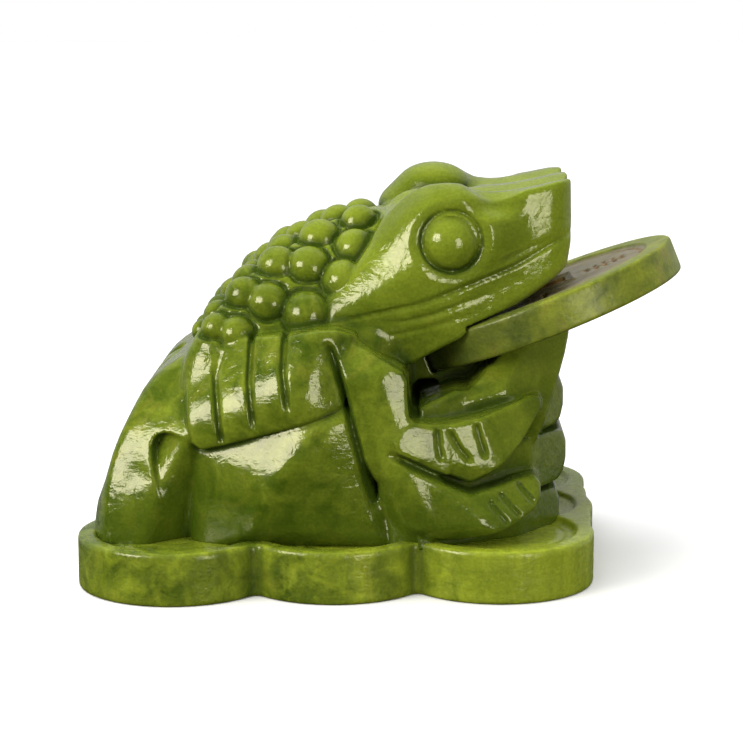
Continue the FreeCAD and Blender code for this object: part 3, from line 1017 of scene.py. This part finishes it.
def coin_jade():
    """Stone of the coin: brown and worn on its upper face, with painted shade on the end that lies
    inside the mouth.
    """
    m = Shader("coin_jade")
    dark = (0.075, 0.105, 0.012, 1)
    colour = stone_colour(m, dark, (0.165, 0.205, 0.012, 1), (0.26, 0.30, 0.022, 1),
                          (0.24, 0.19, 0.04, 1), 0.15)
    worn = m.blend(m.levels(m.noise(240, 4), 0.35, 0.65), (0.25, 0.215, 0.15, 1),
                   (0.20, 0.145, 0.085, 1))
    colour = m.blend(m.maths("MULTIPLY", m.attribute("worn_face"), 0.85), colour, worn)
    brown = m.blend(m.levels(m.noise(300, 3), 0.4, 0.6), (0.14, 0.065, 0.015, 1),
                    (0.25, 0.14, 0.03, 1))
    colour = m.blend(m.attribute("stroke"), colour, brown)
    # painted shade: the end of the coin inside the mouth is darkened, and it stays dark when the
    # coin slides out
    inside = m.levels(m.along("X"), 0.022, 0.056, 0.80, 0.0)
    colour = m.blend(inside, colour, (0.03, 0.05, 0.010, 1))
    return polished(m, with_grain(m, colour), 0.32, 0.42)


# ---------------------------------------------------------------- camera, lights and floor

CAMERA_TARGET = Vector((8.12, 0.0, 46.02)) * MM
CAMERA_TURN = math.radians(1.3)
CAMERA_DISTANCE = 520.0
CAMERA_PLACE = Vector((8.12 + CAMERA_DISTANCE * math.sin(CAMERA_TURN),
                       -CAMERA_DISTANCE * math.cos(CAMERA_TURN), 137.5)) * MM
CAMERA_LENS = 102.3
LIGHT_AIM = Vector((0, 0, 0.045))


def add_camera():
    """Camera at the toad's right, a little above it."""
    data = bpy.data.cameras.new("camera")
    data.lens = CAMERA_LENS
    data.sensor_width = 36.0
    data.clip_start = 0.01
    data.clip_end = 10.0
    camera = bpy.data.objects.new("camera", data)
    camera.location = CAMERA_PLACE
    camera.rotation_euler = (CAMERA_TARGET - CAMERA_PLACE).to_track_quat("-Z", "Y").to_euler()
    bpy.context.scene.collection.objects.link(camera)
    bpy.context.scene.camera = camera


def aimed(name, data, direction, distance):
    """Light that faces the toad from a direction."""
    light = bpy.data.objects.new(name, data)
    light.location = LIGHT_AIM + Vector(direction).normalized() * distance
    light.rotation_euler = (LIGHT_AIM - light.location).to_track_quat("-Z", "Y").to_euler()
    bpy.context.scene.collection.objects.link(light)
    return light


def add_softbox(name, direction, distance, width, height, radiance, colour=(1, 1, 1)):
    """Rectangular softbox; its power follows from how bright its face is."""
    data = bpy.data.lights.new(name, "AREA")
    data.shape = "RECTANGLE"
    data.size = width
    data.size_y = height
    data.energy = radiance * math.pi * width * height
    data.color = colour
    return aimed(name, data, direction, distance)


def add_ceiling_light():
    """Very soft light from overhead that keeps the floor pale and even."""
    data = bpy.data.lights.new("ceiling", "SUN")
    data.energy = 2.3
    data.angle = math.radians(70)
    aimed("ceiling", data, (-0.15, 0.1, 1.0), 1.0).visible_glossy = False


def add_surroundings():
    """Pale room: white behind and above the object, dark in front of it and below."""
    world = bpy.data.worlds.new("world")
    bpy.context.scene.world = world
    world.use_nodes = True
    tree = world.node_tree
    nodes, links = tree.nodes, tree.links
    parts = nodes.new("ShaderNodeSeparateXYZ")
    links.new(nodes.new("ShaderNodeTexCoord").outputs["Generated"], parts.inputs[0])

    def ramp(axis, start, end, first, last):
        """Brightness that goes from first to last between two places on an axis."""
        node = nodes.new("ShaderNodeMapRange")
        for index, value in enumerate((start, end, first, last), 1):
            node.inputs[index].default_value = value
        node.interpolation_type = "SMOOTHSTEP"
        links.new(parts.outputs[axis], node.inputs[0])
        return node.outputs["Result"]

    def pick(kind, no, yes):
        """One of two brightnesses, by the kind of ray."""
        node = nodes.new("ShaderNodeMix")
        node.data_type = "FLOAT"
        for index, value in ((0, kind), (2, no), (3, yes)):
            feed(tree, node.inputs[index], value)
        return node.outputs[0]

    ray = nodes.new("ShaderNodeLightPath").outputs
    mirror = nodes.new("ShaderNodeMath")
    mirror.operation = "MULTIPLY"
    links.new(ramp("Y", -0.15, 0.55, 0.03, 0.45), mirror.inputs[0])
    links.new(ramp("Z", -0.30, -0.04, 0.05, 1.0), mirror.inputs[1])
    soft = pick(ray["Is Glossy Ray"], ramp("Z", -0.5, 0.6, 0.11, 0.84), mirror.outputs[0])
    links.new(pick(ray["Is Camera Ray"], soft, 1.0), nodes["Background"].inputs["Strength"])
    nodes["Background"].inputs["Color"].default_value = (1, 1, 1, 1)


def add_floor():
    """Plain pale floor that only receives the object's shadow."""
    bpy.ops.mesh.primitive_plane_add(size=12)
    floor = bpy.context.object
    floor.name = "floor"
    m = Shader("floor_paper")
    m.set(Base_Color=m.blend(m.noise(40, 2), (0.88, 0.88, 0.88, 1), (0.92, 0.92, 0.92, 1)),
          Roughness=0.9)
    floor.data.materials.append(m.material)
    floor.visible_glossy = False
    floor.visible_diffuse = False


carve_toad(carving_jade())
carve_base(base_jade())
carve_coin(coin_jade())
bpy.context.scene.view_settings.view_transform = "Standard"
add_surroundings()
add_camera()
add_softbox("key", (-0.72, -0.60, 0.38), 0.70, 0.36, 0.30, 10.5, (1.0, 0.95, 0.82))
add_softbox("fill", (0.56, -0.83, 0.06), 0.80, 0.24, 0.32, 6.5, (1.0, 0.96, 0.85))
add_ceiling_light()
add_floor()
